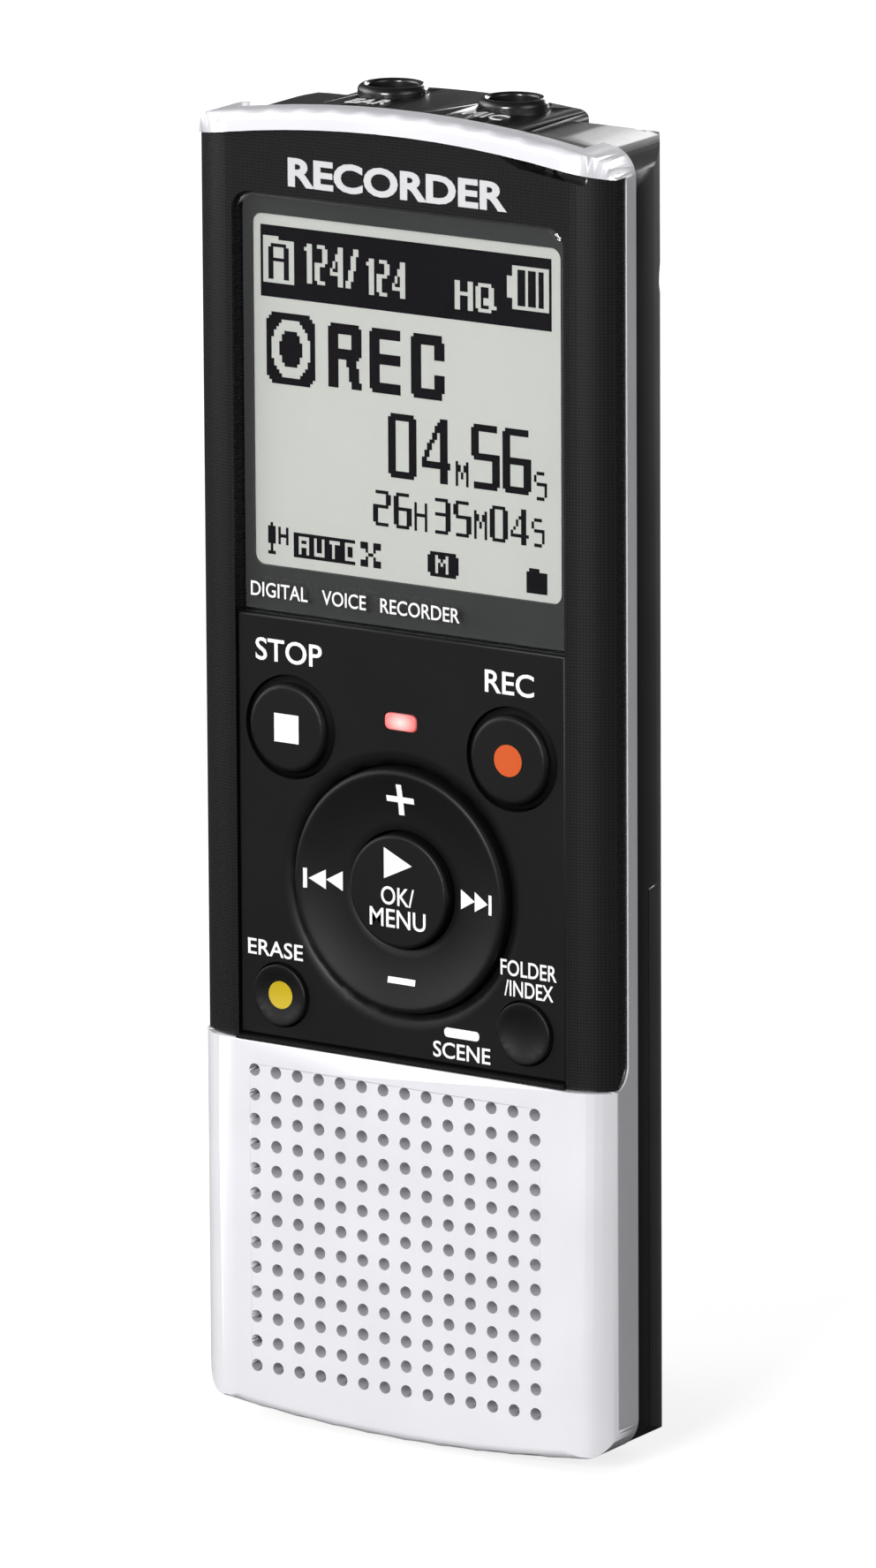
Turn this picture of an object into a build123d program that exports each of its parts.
from build123d import *
import math
import os

# Pocket digital voice recorder, modelled as its separate pieces, in millimetres.
# The body stands upright: Z runs along its length, the display faces -Y, and X points to the
# right as seen from the front. The origin is under the middle of the outline, at the bottom end.
# Depths are measured from the silver speaker face, which is the front of everything.

# ---------------------------------------------------------------- driving dimensions
WIDTH = 36.2
DEPTH = 20.5
TOP = 100.1                 # crown of the silver top band
BOTTOM_ARC_R = 125.0
TOP_ARC_R = 95.0
WALL = 1.3
GAP = 0.08                  # seam between fitted casing pieces

SEAM_DEPTH = 4.5            # silver frame meets the rear shell
RAIL_DEPTH = 3.25           # silver side rail starts behind the black panel
FLAT_HALF = 14.4            # half width of the flat front
SHOULDER_DEPTH = 1.85       # the rounded shoulders end here
BORDER_Z = 28.9             # speaker panel below, black panel above
BAND_Z = 98.5               # crown of the line under the silver top band

PANEL_FACE = 0.5            # black panel's face
PLATE_FACE = 0.7            # keypad plate and display window
PLATE_THICK = 1.2
WINDOW_Z = (61.45, 93.0)
WINDOW_THICK = 0.9
VISIBLE_HALF = 13.45        # visible display area
VISIBLE_Z = (64.9, 91.3)
DISPLAY_FACE = 1.95

REAR_HALF = 18.0            # rear shell at the seam
SLANT_START = (16.13, 10.88)
BACK_CORNER_X = 9.86
BACK_CORNER_R = 6.0
END_SWEEP_R = 30.0          # both ends of the rear shell sweep towards the back
REAR_TOP = 99.4
COVER_SEAM = 6.5            # battery cover's side edges
COVER_SIDE_Z = 43.2
COVER_CROWN_Z = 50.6
COVER_WALL = 1.1

GRILLE_X = -0.35            # the hole field sits a little left of the middle
GRILLE_Z = 15.4
GRILLE_PITCH = 1.9
GRILLE_COLUMNS = 14
GRILLE_ROWS = 13
GRILLE_HOLE_R = 0.475

BIG_KEY = (9.7, 53.15)      # stop left, record right
BIG_HOLE_R = 3.95
SMALL_KEY = (10.72, 32.65)  # erase left, folder right
SMALL_HOLE_R = 2.5
NAV_Z = 42.0
NAV_HOLE_R = 9.45
NAV_R = 9.25
OK_R = 4.3
LAMP_Z = 54.7
KEY_FACE = 0.15
SMALL_KEY_FACE = 0.35
KEY_FIT = 0.15              # radial gap round a key
FLANGE = (2.05, 2.65)       # depths of the keys' retaining flanges
STEM_END = 4.0
NAV_STEM_R = 6.9

BOARD_DEPTH = (4.6, 5.4)
BOARD_HALF = 16.2
BOARD_Z = (30.6, 96.4)
DOME_HEIGHT = 0.25

JACK_X = 5.25
JACK_DEPTH = 8.2
JACK_RING_R = 2.6
JACK_BORE_R = 1.8
JACK_TOP = 100.6
JACK_BORE_LENGTH = 14.0

SPEAKER_R = 13.0
FLOOR_DEPTH = (7.2, 8.2)    # battery tray floor
CELL_X = 5.4
CELL_DEPTH = 13.7
CELL_R = 5.25
CELL_LENGTH = 44.5
CELL_NUB = (2.6, 1.0)       # radius, height
TRAY_Z = (4.5, 52.3)
CONTACT_THICK = 0.3

TOP_SCREW = (15.4, 88.0)
BOARD_SCREW = (15.4, 34.0)
BOTTOM_SCREW = (14.4, 4.95)
TOP_HEAD_DEPTH = 7.6        # seat of the upper case screws
SCREW_R = 0.7
SCREW_HEAD = (1.35, 0.9)    # radius, height

HOLD_Z = 76.0
HOLD_DEPTH = 6.55
USB_Z = 60.0
MIC_X = 13.3
MIC_Z = 95.15
MIC_R = 1.8
MIC_BOOT_R = 2.15

HALF = WIDTH / 2
REAR_DEPTH = DEPTH - SEAM_DEPTH
ARCH_HALF = 17.0
ARCH_RISE = COVER_CROWN_Z - COVER_SIDE_Z
ARCH_R = (ARCH_HALF**2 + ARCH_RISE**2) / (2 * ARCH_RISE)


def y_at(depth):
    """Y of a depth behind the front face."""
    return depth - DEPTH / 2


def facing(depth):
    """Front-view plane at a depth: local x is X and local y is Z."""
    return Plane.XZ.offset(-y_at(depth))


def arc_drop(x, radius):
    """How far an end arc has dropped at x from the middle."""
    return radius - math.sqrt(radius**2 - x**2)


def outline(half, bottom, top, corner_low, corner_high, shrink=0.0):
    """Front-view outline with crowned ends and rounded corners."""
    with BuildSketch(mode=Mode.PRIVATE) as shape:
        with BuildLine():
            low = bottom + arc_drop(half, BOTTOM_ARC_R)
            high = top - arc_drop(half, TOP_ARC_R)
            ThreePointArc((-half, low), (0, bottom), (half, low))
            Line((half, low), (half, high))
            ThreePointArc((half, high), (0, top), (-half, high))
            Line((-half, high), (-half, low))
        make_face()
        fillet(shape.vertices().group_by(Axis.Y)[0], corner_low)
        fillet(shape.vertices().group_by(Axis.Y)[-1], corner_high)
        if shrink:
            offset(amount=-shrink)
    return shape.sketch


def front_solid(face, shoulder_half, shoulder_depth, shrink=0.0):
    """The front half of the body, with rounded shoulders, from its face back to the seam."""
    with BuildPart() as solid:
        with BuildSketch(facing(face + shrink)):
            add(outline(HALF, 0.0, TOP, 2.5, 2.3, shrink))
        extrude(amount=face + shrink - SEAM_DEPTH)
        front_edges = solid.faces().sort_by(Axis.Y)[0].edges()
        fillet(front_edges, 0.8)
        with BuildSketch(Plane.XY.offset(-1)):
            with BuildLine():
                front = Line((0, y_at(face)), (FLAT_HALF, y_at(face)))
                shoulder = TangentArc(
                    front @ 1, (shoulder_half, y_at(shoulder_depth)), tangent=front % 1
                )
                side = Line(shoulder @ 1, (shoulder_half, y_at(SEAM_DEPTH + 2)))
                Line(side @ 1, (0, y_at(SEAM_DEPTH + 2)))
                mirror(about=Plane.YZ)
            make_face()
            if shrink:
                offset(amount=-shrink)
        extrude(amount=TOP + 2, mode=Mode.INTERSECT)
    return solid.part


def rear_section(shrink=0.0):
    """Cross-section of the rear half: slanted flanks and a flat back."""
    with BuildSketch(mode=Mode.PRIVATE) as section:
        with BuildLine():
            side = Line((REAR_HALF, y_at(-2)), (REAR_HALF, y_at(SEAM_DEPTH)))
            start_of_slant = (SLANT_START[0], y_at(SLANT_START[1]))
            flank = TangentArc(side @ 1, start_of_slant, tangent=side % 1)
            slant = Line(flank @ 1, (BACK_CORNER_X, y_at(DEPTH)))
            Line(slant @ 1, (0, y_at(DEPTH)))
            Line((0, y_at(-2)), (REAR_HALF, y_at(-2)))
            mirror(about=Plane.YZ)
        make_face()
        back_corners = section.vertices().group_by(Axis.Y)[-1]
        fillet(back_corners.filter_by_position(Axis.X, -12, -5), BACK_CORNER_R)
        back_corners = section.vertices().group_by(Axis.Y)[-1]
        fillet(back_corners.filter_by_position(Axis.X, 8, 12), BACK_CORNER_R)
        if shrink:
            offset(amount=-shrink)
    return section.sketch


def rear_profile(shrink=0.0):
    """Side view of the rear half: local x is Y and local y is Z."""
    with BuildSketch(mode=Mode.PRIVATE) as profile:
        with BuildLine():
            drop = arc_drop(REAR_DEPTH, END_SWEEP_R)
            low = Line((y_at(-2), 0), (y_at(SEAM_DEPTH), 0))
            sweep = TangentArc(low @ 1, (y_at(DEPTH), drop), tangent=low % 1)
            Line(sweep @ 1, (y_at(DEPTH), REAR_TOP - drop))
            high = Line((y_at(-2), REAR_TOP), (y_at(SEAM_DEPTH), REAR_TOP))
            TangentArc(high @ 1, (y_at(DEPTH), REAR_TOP - drop), tangent=high % 1)
            Line((y_at(-2), 0), (y_at(-2), REAR_TOP))
        make_face()
        fillet(profile.vertices().group_by(Axis.X)[-1], 2.0)
        if shrink:
            offset(amount=-shrink)
    return profile.sketch


def rear_solid(start, shrink=0.0):
    """The rear half of the body behind a start depth: slanted flanks and swept ends."""
    with BuildPart() as solid:
        with BuildSketch(facing(start)):
            add(outline(HALF - 0.04, 0.0, REAR_TOP, 2.6, 3.2, shrink))
        extrude(amount=start - DEPTH - 1)
        with BuildSketch(Plane.XY.offset(-1)):
            add(rear_section(shrink))
        extrude(amount=TOP + 2, mode=Mode.INTERSECT)
        with BuildSketch(Plane.YZ.offset(-HALF - 1)):
            add(rear_profile(shrink))
        extrude(amount=WIDTH + 2, mode=Mode.INTERSECT)
    return solid.part


def cover_zone(clear=0.0):
    """Everything behind the battery cover's edges and under its arched top edge."""
    with BuildPart() as zone:
        with BuildSketch(facing(COVER_SEAM - clear)):
            with BuildLine():
                side = COVER_SIDE_Z + clear
                edge = HALF + 1
                left = Polyline((-ARCH_HALF, side), (-edge, side), (-edge, -2), (edge, -2), (edge, side))
                Line(left @ 1, (ARCH_HALF, side))
                ThreePointArc((ARCH_HALF, side), (0, COVER_CROWN_Z + clear), (-ARCH_HALF, side))
            make_face()
        extrude(amount=-REAR_DEPTH)
    return zone.part


def panel_zone(clear=0.0):
    """Where the black panel sits: in front of the side rails, between border and top band."""
    with BuildPart() as zone:
        with BuildSketch(Plane.YZ.offset(-HALF - 1)) as profile:
            with Locations((y_at(RAIL_DEPTH - clear), BORDER_Z + clear)):
                Rectangle(RAIL_DEPTH + 1, TOP, align=(Align.MAX, Align.MIN))
            low_corner = profile.vertices().group_by(Axis.Y)[0].sort_by(Axis.X)[-1]
            fillet(low_corner, 1.8)
        extrude(amount=WIDTH + 2)
        with BuildSketch(facing(-2)):
            with BuildLine():
                edge = HALF + 2
                crown = BAND_Z - clear
                high = crown - arc_drop(edge, TOP_ARC_R)
                ThreePointArc((-edge, high), (0, crown), (edge, high))
                Polyline((edge, high), (edge, 10), (-edge, 10), (-edge, high))
            make_face()
        extrude(amount=-RAIL_DEPTH - 6, mode=Mode.INTERSECT)
    return zone.part


def post(x, z, radius, start, end, mode=Mode.ADD):
    """Round post or hole running straight back between two depths."""
    with BuildSketch(facing(start)) as disc:
        with Locations((x, z)):
            Circle(radius)
    extrude(disc.sketch, amount=start - end, mode=mode)


def block(x_span, z_span, depths, mode=Mode.ADD, corner=0.0):
    """Rectangular block or cut between two depths, with optional round corners."""
    with BuildSketch(facing(depths[0])) as face:
        with Locations((sum(x_span) / 2, sum(z_span) / 2)):
            if corner:
                RectangleRounded(x_span[1] - x_span[0], z_span[1] - z_span[0], corner)
            else:
                Rectangle(x_span[1] - x_span[0], z_span[1] - z_span[0])
    extrude(face.sketch, amount=depths[0] - depths[1], mode=mode)


def rod(x, depth, radius, z_span, mode=Mode.ADD):
    """Round rod or hole standing along Z."""
    with BuildSketch(Plane.XY.offset(z_span[0])) as disc:
        with Locations((x, y_at(depth))):
            Circle(radius)
    extrude(disc.sketch, amount=z_span[1] - z_span[0], mode=mode)


def crowned(half, top, bottom, depths, mode=Mode.ADD):
    """Plate whose top and bottom follow the top end's arc."""
    drop = arc_drop(half, TOP_ARC_R)
    with BuildSketch(facing(depths[0])) as face:
        with BuildLine():
            ThreePointArc((-half, top - drop), (0, top), (half, top - drop))
            Line((half, top - drop), (half, bottom - drop))
            ThreePointArc((half, bottom - drop), (0, bottom), (-half, bottom - drop))
            Line((-half, bottom - drop), (-half, top - drop))
        make_face()
    extrude(face.sketch, amount=depths[0] - depths[1], mode=mode)


def finish(part, name):
    """Names a finished piece and writes it."""
    part.label = name
    export_step(part, f"parts/{name}.step")


os.makedirs("parts", exist_ok=True)

silver_outer = front_solid(0.0, HALF, SHOULDER_DEPTH)
black_outer = front_solid(PANEL_FACE, HALF - 0.12, SHOULDER_DEPTH + 0.1)
rear_outer = rear_solid(SEAM_DEPTH)
rear_inner = rear_solid(SEAM_DEPTH - 2, WALL)
cover_inner = rear_solid(SEAM_DEPTH - 2, COVER_WALL)

# ---------------------------------------------------------------- silver frame
# Speaker face, side rails and top band, moulded in one piece.
NOTCH_HALF = 15.35
NOTCH_DEPTH = 1.9
with BuildPart() as silver_frame:
    add(silver_outer)
    with BuildSketch(facing(WALL)):
        add(outline(HALF, 0.0, TOP, 2.5, 2.3, WALL))
    extrude(amount=-SEAM_DEPTH, mode=Mode.SUBTRACT)
    add(panel_zone(), mode=Mode.SUBTRACT)
    block((-NOTCH_HALF, NOTCH_HALF), (90, TOP + 1), (NOTCH_DEPTH, SEAM_DEPTH + 1), Mode.SUBTRACT)
    for side in (-1, 1):
        post(side * BOTTOM_SCREW[0], BOTTOM_SCREW[1], 1.45, WALL - 0.1, FLOOR_DEPTH[0] - 0.1)
        post(side * BOTTOM_SCREW[0], BOTTOM_SCREW[1], SCREW_R + 0.02, 2.2, 9, Mode.SUBTRACT)
    with BuildSketch(facing(-1)):
        with Locations((GRILLE_X, GRILLE_Z)):
            with GridLocations(GRILLE_PITCH, GRILLE_PITCH, GRILLE_COLUMNS, GRILLE_ROWS):
                Circle(GRILLE_HOLE_R)
    extrude(amount=-WALL - 2, mode=Mode.SUBTRACT)
finish(silver_frame.part, "silver_frame")

# ---------------------------------------------------------------- black front panel
# Frame round the window and the keypad, with the shoulders and the microphone slot.
OPENING_Z = (BORDER_Z + 0.42, WINDOW_Z[1] + GAP)
SLOT_X = (10.6, 16.0)
SLOT_HEIGHT = 0.75
with BuildPart() as front_panel:
    add(black_outer)
    add(panel_zone(GAP), mode=Mode.INTERSECT)
    block((-FLAT_HALF, FLAT_HALF), (OPENING_Z[0], OPENING_Z[1] - 3), (-1, 5), Mode.SUBTRACT)
    block((-FLAT_HALF, FLAT_HALF), (OPENING_Z[1] - 9, OPENING_Z[1]), (-1, 5), Mode.SUBTRACT, 1.5)
    block((-10, 10), (94.3, 97.2), (1.7, 5), Mode.SUBTRACT)
    block((-FLAT_HALF, FLAT_HALF), (BORDER_Z + GAP, OPENING_Z[0]), (0.1, 2.5))
    with BuildSketch(facing(0)):
        with BuildLine():
            crown = BAND_Z - GAP
            tops = [(x, crown - arc_drop(x, TOP_ARC_R)) for x in (SLOT_X[0], MIC_X, SLOT_X[1])]
            ThreePointArc(*tops)
            Line(tops[2], (tops[2][0], tops[2][1] - SLOT_HEIGHT))
            ThreePointArc(*[(x, z - SLOT_HEIGHT) for x, z in reversed(tops)])
            Line((tops[0][0], tops[0][1] - SLOT_HEIGHT), tops[0])
        make_face()
    extrude(amount=-1.5, mode=Mode.SUBTRACT)
    post(MIC_X, MIC_Z, MIC_BOOT_R + 0.05, 1.9, 5, Mode.SUBTRACT)
    post(MIC_X, MIC_Z + 1.9, 0.4, 1.4, 2.0, Mode.SUBTRACT)
    for side in (-1, 1):
        for screw in (TOP_SCREW, BOARD_SCREW):
            post(side * screw[0], screw[1], 1.1, 3.0, BOARD_DEPTH[0] - 0.02)
            post(side * screw[0], screw[1], SCREW_R + 0.02, 1.7, 5, Mode.SUBTRACT)
finish(front_panel.part, "front_panel")

# ---------------------------------------------------------------- keypad plate
PLATE_Z = (OPENING_Z[0] + GAP, WINDOW_Z[0] - GAP)
PLATE_BACK = PLATE_FACE + PLATE_THICK
LAMP_SIZE = (2.9, 1.4)
big_keys = [(-BIG_KEY[0], BIG_KEY[1]), BIG_KEY]
small_keys = [(-SMALL_KEY[0], SMALL_KEY[1]), SMALL_KEY]
with BuildPart() as keypad_plate:
    block((GAP - FLAT_HALF, FLAT_HALF - GAP), PLATE_Z, (PLATE_FACE, PLATE_BACK))
    fillet(keypad_plate.faces().sort_by(Axis.Y)[0].edges(), 0.2)
    for x, z in big_keys:
        post(x, z, BIG_HOLE_R, -1, 5, Mode.SUBTRACT)
    for x, z in small_keys:
        post(x, z, SMALL_HOLE_R, -1, 5, Mode.SUBTRACT)
    post(0, NAV_Z, NAV_HOLE_R, -1, 5, Mode.SUBTRACT)
    # shallow countersink that the four-way ring sits in
    with Locations((0, y_at(PLATE_FACE + 0.2), NAV_Z)):
        Cone(NAV_HOLE_R, NAV_HOLE_R + 1.15, 0.4, rotation=(90, 0, 0), mode=Mode.SUBTRACT)
    lamp_x = (-LAMP_SIZE[0] / 2, LAMP_SIZE[0] / 2)
    lamp_z = (LAMP_Z - LAMP_SIZE[1] / 2, LAMP_Z + LAMP_SIZE[1] / 2)
    block(lamp_x, lamp_z, (-1, 5), Mode.SUBTRACT, 0.5)
finish(keypad_plate.part, "keypad_plate")

# ---------------------------------------------------------------- display stack
with BuildPart() as display_window:
    window_x = (GAP * 1.5 - FLAT_HALF, FLAT_HALF - GAP * 1.5)
    block(window_x, (WINDOW_Z[1] - 10, WINDOW_Z[1]), (PLATE_FACE, PLATE_FACE + WINDOW_THICK), corner=1.4)
    block(window_x, (WINDOW_Z[0], WINDOW_Z[1] - 5), (PLATE_FACE, PLATE_FACE + WINDOW_THICK))
    chamfer(display_window.faces().sort_by(Axis.Y)[0].edges(), 0.2)
finish(display_window.part, "display_window")

HOLDER_X = (-14.2, 14.2)
HOLDER_Z = (61.6, 92.8)
GLASS_X = (-13.85, 13.85)
GLASS_Z = (63.0, 92.1)
with BuildPart() as display_holder:
    block(HOLDER_X, HOLDER_Z, (PLATE_FACE + WINDOW_THICK + 0.05, BOARD_DEPTH[0] - 0.05), corner=1.4)
    block((-VISIBLE_HALF, VISIBLE_HALF), VISIBLE_Z, (1, 6), Mode.SUBTRACT, 0.8)
    block((-13.9, 13.9), (62.9, 92.2), (DISPLAY_FACE - 0.02, 6), Mode.SUBTRACT)
finish(display_holder.part, "display_holder")

with BuildPart() as display_glass:
    block(GLASS_X, GLASS_Z, (DISPLAY_FACE, DISPLAY_FACE + 1.2))
    chamfer(display_glass.edges().filter_by(Axis.Y), 0.3)
finish(display_glass.part, "display_glass")

with BuildPart() as display_reflector:
    block((-13.7, 13.7), (65.2, 92.0), (DISPLAY_FACE + 1.25, DISPLAY_FACE + 1.9))
finish(display_reflector.part, "display_reflector")

with BuildPart() as contact_strip:
    block((-12.5, 12.5), (63.3, 64.7), (DISPLAY_FACE + 1.22, BOARD_DEPTH[0]))
finish(contact_strip.part, "contact_strip")


# ---------------------------------------------------------------- keys
def round_key(name, x, z, face, hole_r, dish):
    """Key cap with its retaining flange behind the plate and its stem over the dome."""
    with BuildPart() as key:
        if dish:
            rim_r = hole_r - KEY_FIT
            post(x, z, rim_r, face, FLANGE[0])
            fillet(key.edges().sort_by(Axis.Y)[0], 0.12)
            dish_r = (rim_r - 0.3)**2 / (2 * dish) + dish / 2
            with Locations((x, y_at(face + dish - dish_r), z)):
                Sphere(dish_r, mode=Mode.SUBTRACT)
        else:
            post(x, z, hole_r - 0.6, face, 1.2)
            fillet(key.edges().sort_by(Axis.Y)[0], 0.4)
            post(x, z, hole_r - KEY_FIT, 1.0, FLANGE[0])
        post(x, z, hole_r + 0.5, FLANGE[0], FLANGE[1])
        post(x, z, hole_r * 0.4, FLANGE[1], STEM_END)
    finish(key.part, name)


round_key("stop_key", *big_keys[0], KEY_FACE, BIG_HOLE_R, 0.0)
round_key("record_key", *big_keys[1], KEY_FACE, BIG_HOLE_R, 0.0)
round_key("erase_key", *small_keys[0], SMALL_KEY_FACE, SMALL_HOLE_R, 0.35)
round_key("folder_key", *small_keys[1], SMALL_KEY_FACE, SMALL_HOLE_R, 0.35)

# Four-way ring: dished towards the middle, tilting on the rocker behind it.
RING_INNER_R = 4.5
RING_BACK = 2.7
RING_RIM = (8.8, 0.15)
RING_DISH = 0.9
with BuildPart() as nav_ring:
    with BuildSketch(Plane.XY.offset(NAV_Z)):
        with BuildLine():
            inner = (RING_INNER_R, y_at(RING_DISH))
            rim = (RING_RIM[0], y_at(RING_RIM[1]))
            edge = (NAV_R, y_at(RING_RIM[1] + 0.45))
            ThreePointArc(inner, (6.7, y_at(0.66)), rim)
            ThreePointArc(rim, (NAV_R - 0.12, y_at(RING_RIM[1] + 0.14)), edge)
            Polyline(edge, (NAV_R, y_at(2.25)), (10, y_at(2.25)), (10, y_at(RING_BACK)))
            Polyline((10, y_at(RING_BACK)), (RING_INNER_R, y_at(RING_BACK)), inner)
        make_face()
    revolve(axis=Axis((0, 0, NAV_Z), (0, 1, 0)))
    for side in (-1, 1):
        post(side * NAV_STEM_R, NAV_Z, 0.9, RING_BACK, STEM_END)
finish(nav_ring.part, "nav_ring")

ROCKER_R = (5.2, 8.6)
ROCKER_DEPTHS = (3.1, 3.4)
with BuildPart() as nav_rocker:
    post(0, NAV_Z, ROCKER_R[1], *ROCKER_DEPTHS)
    post(0, NAV_Z, ROCKER_R[0], 3, 4, Mode.SUBTRACT)
    for side in (-1, 1):
        block((-1.3, 1.3), (NAV_Z + side * 6.9 - 1, NAV_Z + side * 6.9 + 1), (RING_BACK + 0.08, 3.2))
        post(0, NAV_Z + side * NAV_STEM_R, 0.9, 3.3, STEM_END)
        post(side * NAV_STEM_R, NAV_Z, 1.3, 3, 4, Mode.SUBTRACT)
finish(nav_rocker.part, "nav_rocker")

with BuildPart() as ok_key:
    post(0, NAV_Z, OK_R, KEY_FACE, 3.0)
    fillet(ok_key.edges().sort_by(Axis.Y)[0], 0.3)
    post(0, NAV_Z, 4.9, 2.95, 3.35)
    post(0, NAV_Z, 1.5, 3.35, STEM_END)
finish(ok_key.part, "ok_key")

# Rubber mat between the key flanges and the board, standing on small feet.
MAT_DEPTHS = (3.0, 3.4)
with BuildPart() as key_mat:
    block((-14.0, 14.0), (29.9, 61.0), MAT_DEPTHS)
    post(0, NAV_Z, 10.5, 2, 5, Mode.SUBTRACT)
    for x, z in big_keys:
        post(x, z, 2.0, 2, 5, Mode.SUBTRACT)
    for x, z in small_keys:
        post(x, z, 1.4, 2, 5, Mode.SUBTRACT)
    block((-2.2, 2.2), (LAMP_Z - 1.5, LAMP_Z + 1.5), (2, 5), Mode.SUBTRACT)
    for x in (-13.2, 13.2):
        for z in (42.0, 59.9):
            post(x, z, 0.7, MAT_DEPTHS[1], BOARD_DEPTH[0])
    for x in (-5.0, 5.0):
        for z in (30.8, 59.9):
            post(x, z, 0.7, MAT_DEPTHS[1], BOARD_DEPTH[0])
finish(key_mat.part, "key_mat")

with BuildPart() as lamp_lens:
    fit = 0.06
    block((lamp_x[0] + fit, lamp_x[1] - fit), (lamp_z[0] + fit, lamp_z[1] - fit), (0.62, 2.0), corner=0.45)
    fillet(lamp_lens.faces().sort_by(Axis.Y)[0].edges(), 0.15)
    block((-1.8, 1.8), (LAMP_Z - 1.1, LAMP_Z + 1.1), (1.96, 2.4))
    block((-0.8, 0.8), (LAMP_Z - 0.5, LAMP_Z + 0.5), (2.4, 4.0))
finish(lamp_lens.part, "lamp_lens")

# ---------------------------------------------------------------- board and what it carries
with BuildPart() as main_board:
    block((-BOARD_HALF, BOARD_HALF), BOARD_Z, BOARD_DEPTH)
    chamfer(main_board.edges().filter_by(Axis.Y), 1.5)
    for side in (-1, 1):
        for screw in (TOP_SCREW, BOARD_SCREW):
            post(side * screw[0], screw[1], 0.9, 4, 6, Mode.SUBTRACT)
finish(main_board.part, "main_board")

nav_points = [(side * NAV_STEM_R, NAV_Z) for side in (-1, 1)]
nav_points += [(0, NAV_Z + side * NAV_STEM_R) for side in (-1, 1)]
with BuildPart() as key_domes:
    for x, z in big_keys + small_keys + nav_points + [(0, NAV_Z)]:
        post(x, z, 1.5, BOARD_DEPTH[0] - DOME_HEIGHT, BOARD_DEPTH[0])
    fillet(key_domes.faces().group_by(Axis.Y)[0].edges(), 0.12)
finish(key_domes.part, "key_domes")

with BuildPart() as record_led:
    block((-0.8, 0.8), (LAMP_Z - 0.45, LAMP_Z + 0.45), (4.1, BOARD_DEPTH[0]))
    chamfer(record_led.faces().sort_by(Axis.Y)[0].edges(), 0.15)
finish(record_led.part, "record_led")

CHIPS = [
    ((-6.0, 6.0), (65.5, 82.5), 1.0),
    ((-4.0, 6.0), (55.0, 63.5), 1.1),
    ((8.5, 12.0), (56.0, 61.0), 1.4),
    ((8.6, 11.6), (68.0, 74.0), 0.9),
    ((-10.0, -4.0), (36.0, 42.0), 0.9),
    ((2.0, 9.0), (38.0, 46.0), 1.2),
    ((-9.5, -8.0), (47.0, 49.5), 0.8),
    ((-6.5, -5.0), (47.0, 49.5), 0.8),
]
with BuildPart() as board_chips:
    for x_span, z_span, height in CHIPS:
        block(x_span, z_span, (BOARD_DEPTH[1], BOARD_DEPTH[1] + height))
finish(board_chips.part, "board_chips")


def screw_set(name, places, head_r, head_depth, head_height):
    """Small cross-head screws driven forward from the back."""
    with BuildPart() as screws:
        for x, z, tip in places:
            head_back = head_depth + head_height
            post(x, z, head_r, head_depth, head_back)
            post(x, z, SCREW_R, tip, head_depth)
            block((x - 0.75, x + 0.75), (z - 0.15, z + 0.15), (head_back - 0.4, 20), Mode.SUBTRACT)
            block((x - 0.15, x + 0.15), (z - 0.75, z + 0.75), (head_back - 0.4, 20), Mode.SUBTRACT)
    finish(screws.part, name)


sides = (-1, 1)
board_places = [(side * BOARD_SCREW[0], BOARD_SCREW[1], 2.2) for side in sides]
screw_set("board_screws", board_places, 1.2, BOARD_DEPTH[1], 0.8)
top_places = [(side * TOP_SCREW[0], TOP_SCREW[1], 2.2) for side in sides]
screw_set("upper_case_screws", top_places, SCREW_HEAD[0], TOP_HEAD_DEPTH, SCREW_HEAD[1])
low_places = [(side * BOTTOM_SCREW[0], BOTTOM_SCREW[1], 2.6) for side in sides]
screw_set("lower_case_screws", low_places, 1.3, FLOOR_DEPTH[1], SCREW_HEAD[1])


# ---------------------------------------------------------------- rear shell
def partition():
    """Wall between the battery bay and the electronics, filling the rear shell's inside."""
    with BuildPart() as wall:
        add(rear_solid(SEAM_DEPTH - 2, WALL - 0.3))
        block((-HALF, HALF), (TRAY_Z[1], TRAY_Z[1] + 1.2), (FLOOR_DEPTH[0], DEPTH), Mode.INTERSECT)
    return wall.part


def strap_corner():
    """Solid corner round the strap channel."""
    with BuildPart() as corner:
        add(rear_solid(SEAM_DEPTH, 0.2))
        block((9.6, HALF), (92.2, TOP), (10.6, 17.5), Mode.INTERSECT)
    return corner.part


def screw_tower(side):
    """Tower that carries an upper case screw."""
    with BuildPart() as tower:
        add(rear_solid(SEAM_DEPTH, 0.2))
        x = side * TOP_SCREW[0]
        z = TOP_SCREW[1]
        block((x - 2.1, x + 2.1), (z - 2.1, z + 2.1), (5.45, 14), Mode.INTERSECT, 2.0)
    return tower.part


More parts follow.
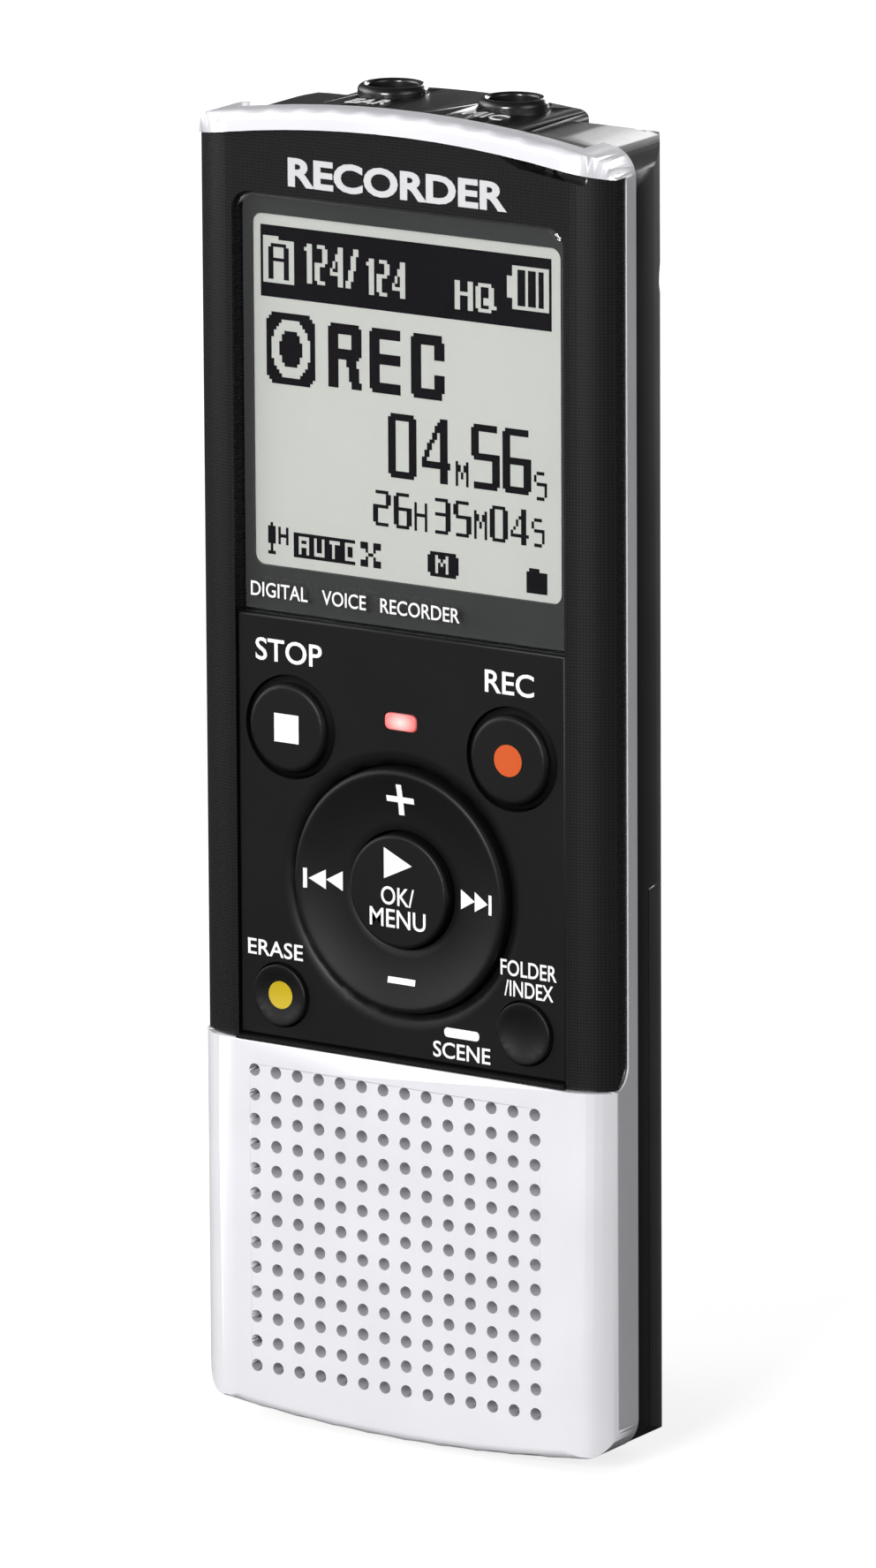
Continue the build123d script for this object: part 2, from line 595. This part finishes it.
TRAY_HALF = 15.9
WEB_DEPTHS = (5.45, 6.35)
MOUND_HALF = 9.2
MOUND_DEPTHS = (4.4, 12.2)
KNOB_TRAVEL = 1.5
with BuildPart() as rear_shell:
    add(rear_outer)
    add(rear_inner, mode=Mode.SUBTRACT)
    add(cover_zone(GAP), mode=Mode.SUBTRACT)
    block((-TRAY_HALF, TRAY_HALF), (3.2, TRAY_Z[1] + 1.2), FLOOR_DEPTH)
    for side in sides:
        upstand = sorted((side * 15.2, side * TRAY_HALF))
        web = sorted((side * 15.2, side * 17.2))
        block(upstand, (3.2, TRAY_Z[1] + 1.2), (WEB_DEPTHS[0], FLOOR_DEPTH[1]))
        block(web, (3.2, TRAY_Z[1] + 1.2), WEB_DEPTHS)
    block((-12.9, 12.9), (TRAY_Z[0] - 1, TRAY_Z[0]), (FLOOR_DEPTH[0], 13.2))
    block((-11.4, 11.4), (TRAY_Z[0] - 1, TRAY_Z[0]), (FLOOR_DEPTH[0], 15.2))
    block((-0.5, 0.5), (8, 49), (FLOOR_DEPTH[1] - 0.2, 10.6))
    add(partition())
    add(strap_corner())
    for side in sides:
        add(screw_tower(side))
    # openings: jack mound, screws, strap channel, hold slider and data socket
    block((-MOUND_HALF - 0.12, MOUND_HALF + 0.12), (96.8, TOP + 2), (3, MOUND_DEPTHS[1] + 0.12), Mode.SUBTRACT)
    for side in sides:
        post(side * TOP_SCREW[0], TOP_SCREW[1], 0.8, 4, 12, Mode.SUBTRACT)
        post(side * TOP_SCREW[0], TOP_SCREW[1], 1.45, TOP_HEAD_DEPTH, DEPTH, Mode.SUBTRACT)
        post(side * BOARD_SCREW[0], BOARD_SCREW[1], 1.7, 5, FLOOR_DEPTH[0] - 0.2, Mode.SUBTRACT)
        post(side * BOTTOM_SCREW[0], BOTTOM_SCREW[1], 0.8, 5, 9, Mode.SUBTRACT)
        post(side * BOTTOM_SCREW[0], BOTTOM_SCREW[1], 1.5, 5, FLOOR_DEPTH[0], Mode.SUBTRACT)
    block((10.2, 14.2), (94.2, TOP + 2), (11.9, 13.1), Mode.SUBTRACT, 0.55)
    block((10.2, 14.2), (94.2, 95.5), (11.9, DEPTH), Mode.SUBTRACT)
    knob_zone = (HOLD_Z - 6, HOLD_Z + 6)
    block((-20, -17.25), knob_zone, (HOLD_DEPTH - 1.5, HOLD_DEPTH + 1.5), Mode.SUBTRACT)
    stem_zone = (HOLD_Z - 1.2 - KNOB_TRAVEL, HOLD_Z + 1.2 + KNOB_TRAVEL)
    block((-20, -14), stem_zone, (HOLD_DEPTH - 0.6, HOLD_DEPTH + 0.6), Mode.SUBTRACT)
    block((-20, -14), (USB_Z - 3.95, USB_Z + 3.95), (5.35, 9.45), Mode.SUBTRACT)
finish(rear_shell.part, "rear_shell")

# ---------------------------------------------------------------- battery cover
GROOVES = 4
with BuildPart() as battery_cover:
    add(rear_outer)
    add(cover_zone(), mode=Mode.INTERSECT)
    add(cover_inner, mode=Mode.SUBTRACT)
    block((-2.2, 2.2), (45.5, 49.8), (18.3, 19.8))
    block((-2.2, 2.2), (45.5, 52.1), (18.3, 19.1))
    for step in range(GROOVES):
        low = 36.5 + 2.2 * step
        block((-5.5, 5.5), (low, low + 1.0), (DEPTH - 0.35, DEPTH + 1), Mode.SUBTRACT, 0.45)
finish(battery_cover.part, "battery_cover")

# ---------------------------------------------------------------- batteries and their contacts
can_length = CELL_LENGTH - CELL_NUB[1]
left_can = (7.5, 7.5 + can_length)
right_can = (TRAY_Z[0] + CONTACT_THICK + CELL_NUB[1], TRAY_Z[0] + CONTACT_THICK + CELL_LENGTH)
with BuildPart() as battery_left:
    rod(-CELL_X, CELL_DEPTH, CELL_R, left_can)
    fillet(battery_left.edges().filter_by(GeomType.CIRCLE), 0.6)
    rod(-CELL_X, CELL_DEPTH, CELL_NUB[0], (left_can[1], left_can[1] + CELL_NUB[1]))
finish(battery_left.part, "battery_left")

with BuildPart() as battery_right:
    rod(CELL_X, CELL_DEPTH, CELL_R, right_can)
    fillet(battery_right.edges().filter_by(GeomType.CIRCLE), 0.6)
    rod(CELL_X, CELL_DEPTH, CELL_NUB[0], (right_can[0] - CELL_NUB[1], right_can[0]))
finish(battery_right.part, "battery_right")

CONTACT_TOP = TRAY_Z[1] - CONTACT_THICK
with BuildPart() as contact_plates:
    block((-10.4, 10.4), (TRAY_Z[0], TRAY_Z[0] + CONTACT_THICK), (9.5, 16.9))
    for side in sides:
        span = sorted((side * 0.8, side * 10.0))
        block(span, (CONTACT_TOP, TRAY_Z[1]), (9.5, 17.0))
finish(contact_plates.part, "contact_plates")

WIRE_R = 0.28


def spring():
    """Conical contact spring standing on its widest turn at the origin."""
    turns = [(3.4, WIRE_R + 0.03), (2.7, 1.3), (2.0, 2.7 - WIRE_R - 0.03)]
    with BuildPart() as coil:
        for radius, height in turns:
            with Locations((0, 0, height)):
                Torus(radius, WIRE_R)
        for low, high in zip(turns, turns[1:]):
            with Locations((low[0] - 0.35, 0, (low[1] + high[1]) / 2)):
                Cylinder(WIRE_R * 0.9, high[1] - low[1], rotation=(0, -35, 0))
    return coil.part


coil = spring()
with BuildPart() as battery_springs:
    add(coil.moved(Location((-CELL_X, y_at(CELL_DEPTH), TRAY_Z[0] + CONTACT_THICK))))
    add(coil.moved(Location((CELL_X, y_at(CELL_DEPTH), CONTACT_TOP), (180, 0, 0))))
finish(battery_springs.part, "battery_springs")

# ---------------------------------------------------------------- top end: cap and jacks
with BuildPart() as top_cap:
    crowned(MOUND_HALF, TOP - 0.15, 97.9, MOUND_DEPTHS)
    crowned(MOUND_HALF, TOP - 0.15, BAND_Z + 0.1, (NOTCH_DEPTH + 0.1, MOUND_DEPTHS[0] + 0.1))
    fillet(top_cap.faces().sort_by(Axis.Z)[-1].edges().sort_by(Axis.Y)[1:], 0.8)
    crowned(NOTCH_HALF - 0.1, 99.5, BAND_Z + 0.08, (NOTCH_DEPTH + 0.05, SEAM_DEPTH - 0.06))
    crowned(10.0, 99.5, 96.9, (RAIL_DEPTH + 0.1, SEAM_DEPTH - 0.06))
    for side in sides:
        rod(side * JACK_X, JACK_DEPTH, JACK_RING_R + 0.06, (90, TOP + 2), Mode.SUBTRACT)
finish(top_cap.part, "top_cap")

BORE_BOTTOM = JACK_TOP - JACK_BORE_LENGTH


def jack(name, x):
    """Three-and-a-half millimetre jack: ringed collar, body and plug bore."""
    with BuildPart() as socket:
        rod(x, JACK_DEPTH, JACK_RING_R, (97.0, JACK_TOP))
        fillet(socket.edges().sort_by(Axis.Z)[-1], 0.45)
        block((x - 3.0, x + 3.0), (BORE_BOTTOM - 1, 97.4), (5.7, 10.7))
        for pin_x in (x - 2.2, x + 2.2):
            for pin_z in (88.0, 95.0):
                block((pin_x - 0.5, pin_x + 0.5), (pin_z - 0.5, pin_z + 0.5), (BOARD_DEPTH[1], 5.9))
        rod(x, JACK_DEPTH, JACK_BORE_R, (BORE_BOTTOM, JACK_TOP + 1), Mode.SUBTRACT)
        chamfer(socket.edges().filter_by(GeomType.CIRCLE).sort_by(Axis.Z)[-1], 0.25)
    finish(socket.part, name)


jack("earphone_jack", -JACK_X)
jack("microphone_jack", JACK_X)

# ---------------------------------------------------------------- side: data socket, hold switch
with BuildPart() as usb_socket:
    block((-16.9, -8.9), (USB_Z - 3.85, USB_Z + 3.85), (BOARD_DEPTH[1], 9.3))
    block((-18, -9.6), (USB_Z - 3.45, USB_Z + 3.45), (5.8, 8.9), Mode.SUBTRACT)
    block((-15.6, -9.3), (USB_Z - 2.5, USB_Z + 2.5), (7.0, 7.7))
finish(usb_socket.part, "usb_socket")

with BuildPart() as hold_knob:
    knob_z = (HOLD_Z - 2.6, HOLD_Z + 2.6)
    block((-18.05, -17.33), knob_z, (HOLD_DEPTH - 1.2, HOLD_DEPTH + 1.2))
    block((-18.0, -16.3), (HOLD_Z - 1.1, HOLD_Z + 1.1), (HOLD_DEPTH - 0.5, HOLD_DEPTH + 0.5))
    for step in (-1.4, -0.7, 0.0, 0.7, 1.4):
        groove = (HOLD_Z + step - 0.15, HOLD_Z + step + 0.15)
        block((-18.2, -17.85), groove, (HOLD_DEPTH - 1.3, HOLD_DEPTH + 1.3), Mode.SUBTRACT)
finish(hold_knob.part, "hold_knob")

with BuildPart() as hold_switch:
    block((-16.2, -12.7), (HOLD_Z - 3.3, HOLD_Z + 3.3), (BOARD_DEPTH[1], 7.4))
finish(hold_switch.part, "hold_switch")

# ---------------------------------------------------------------- loudspeaker
with BuildPart() as speaker_cloth:
    half_x = GRILLE_PITCH * GRILLE_COLUMNS / 2
    half_z = GRILLE_PITCH * GRILLE_ROWS / 2
    cloth_x = (GRILLE_X - half_x, GRILLE_X + half_x)
    block(cloth_x, (GRILLE_Z - half_z, GRILLE_Z + half_z), (WALL + 0.02, WALL + 0.17))
    for side in sides:
        post(side * BOTTOM_SCREW[0], BOTTOM_SCREW[1], 1.5, 1, 2, Mode.SUBTRACT)
finish(speaker_cloth.part, "speaker_cloth")

with BuildPart() as speaker_gasket:
    post(GRILLE_X, GRILLE_Z, SPEAKER_R, WALL + 0.19, 2.58)
    post(GRILLE_X, GRILLE_Z, SPEAKER_R - 1, 1, 3, Mode.SUBTRACT)
finish(speaker_gasket.part, "speaker_gasket")

with BuildPart() as speaker_frame:
    post(GRILLE_X, GRILLE_Z, SPEAKER_R, 2.6, 3.4)
    post(GRILLE_X, GRILLE_Z, SPEAKER_R - 1.5, 3.4, 5.0)
    post(GRILLE_X, GRILLE_Z, SPEAKER_R - 1, 2, 3.1, Mode.SUBTRACT)
    post(GRILLE_X, GRILLE_Z, SPEAKER_R - 2.2, 2, 4.4, Mode.SUBTRACT)
    post(GRILLE_X, GRILLE_Z, 4.0, 4, 6, Mode.SUBTRACT)
    for angle in (45, 135, 225, 315):
        slot_x = GRILLE_X + 7.4 * math.cos(math.radians(angle))
        slot_z = GRILLE_Z + 7.4 * math.sin(math.radians(angle))
        post(slot_x, slot_z, 1.7, 4, 6, Mode.SUBTRACT)
finish(speaker_frame.part, "speaker_frame")

with BuildPart() as speaker_cone:
    with BuildSketch(Plane.XY.offset(GRILLE_Z)):
        with BuildLine():
            rim = SPEAKER_R - 1.1
            line = [(0, 3.1), (3.2, 3.3), (3.6, 4.1), (9.5, 3.0), (10.4, 2.7), (rim, 2.87)]
            front = [(GRILLE_X + r, y_at(depth)) for r, depth in line]
            back = [(x, y + 0.2) for x, y in reversed(front)]
            Polyline(*front, *back, close=True)
        make_face()
    revolve(axis=Axis((GRILLE_X, 0, GRILLE_Z), (0, 1, 0)))
finish(speaker_cone.part, "speaker_cone")

with BuildPart() as speaker_magnet:
    post(GRILLE_X, GRILLE_Z, 6.0, 5.0, 7.0)
    fillet(speaker_magnet.edges().sort_by(Axis.Y)[-1], 0.4)
finish(speaker_magnet.part, "speaker_magnet")

# ---------------------------------------------------------------- built-in microphone
with BuildPart() as microphone_boot:
    post(MIC_X, MIC_Z, MIC_BOOT_R, 1.95, 4.5)
    post(MIC_X, MIC_Z, MIC_R + 0.03, 2.2, 5, Mode.SUBTRACT)
    post(MIC_X, MIC_Z, 0.8, 1, 3, Mode.SUBTRACT)
finish(microphone_boot.part, "microphone_boot")

with BuildPart() as microphone_capsule:
    post(MIC_X, MIC_Z, MIC_R, 2.25, 4.2)
    post(MIC_X, MIC_Z, 0.5, 2, 2.5, Mode.SUBTRACT)
finish(microphone_capsule.part, "microphone_capsule")
